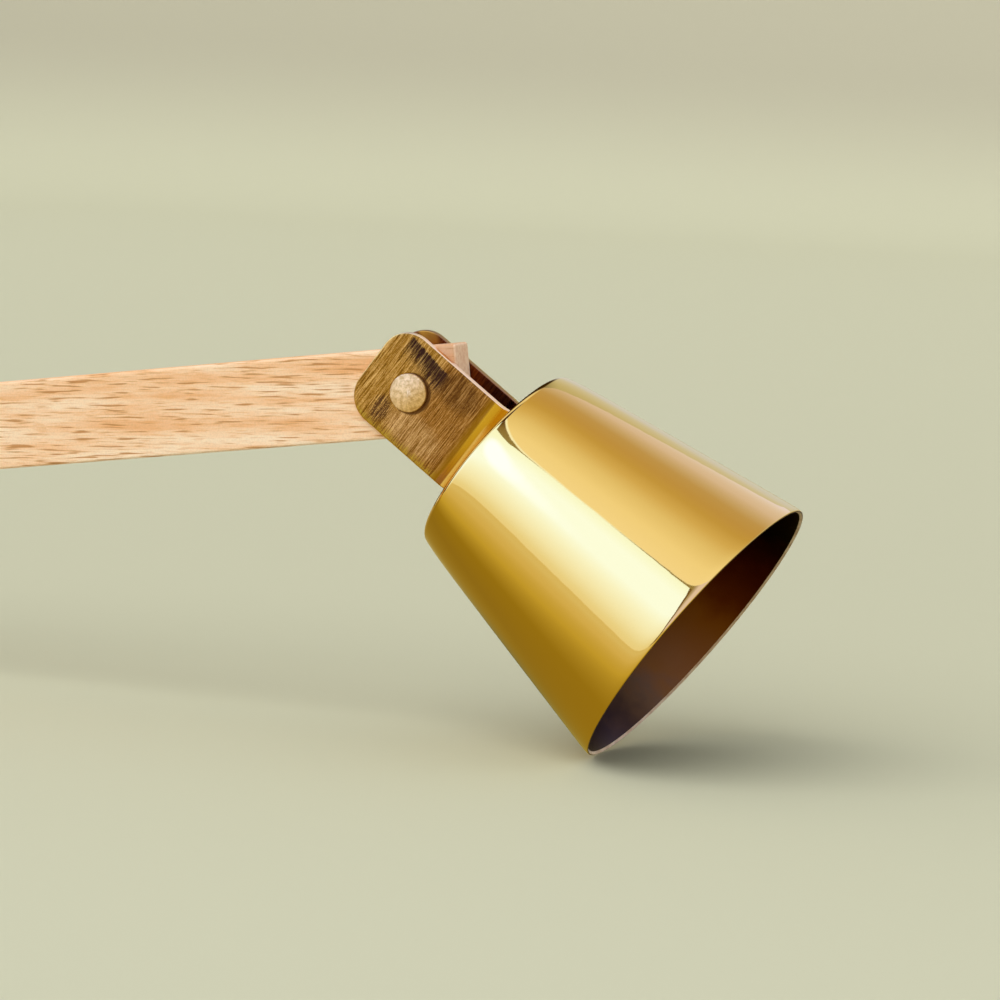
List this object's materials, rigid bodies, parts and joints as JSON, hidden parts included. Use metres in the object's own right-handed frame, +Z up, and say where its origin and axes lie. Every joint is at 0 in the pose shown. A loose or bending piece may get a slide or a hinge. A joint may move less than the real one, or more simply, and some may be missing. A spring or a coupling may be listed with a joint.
{
  "type": "candle snuffer",
  "caption": "Candle snuffer: a thin conical brass bell on a folding brass bracket, riveted to the end of a long flat wooden handle.",
  "frame": {"origin": "on the table, under the middle of the whole length, with the snuffer standing on its bell's rim and the handle's far end", "axes": "+X along the length from the handle's far end towards the bell, +Y along the hinge axis from the pivot rivet's head to its tail, +Z up"},
  "size_m": [0.275, 0.038, 0.0482],
  "materials": {
    "pale_wood": "bare pale hardwood with short reddish-brown pore streaks, finely sanded",
    "polished_brass": "mirror-polished and lacquered",
    "brushed_brass": "brushed across the strip",
    "rivet_brass": "satin, slightly mottled"
  },
  "bodies": {
    "handle": {"handle": "pale_wood", "pivot_rivet": "rivet_brass"},
    "head": {"bracket": "brushed_brass", "bell": "polished_brass", "bell_rivet": "rivet_brass"}
  },
  "joints": [
    {"name": "bell_fold", "type": "hinge", "parent": "handle", "child": "head", "pos_m": [0.09046, 0, 0.04106], "axis": [0, 1, 0], "range_deg": [-159, 70]}
  ]
}
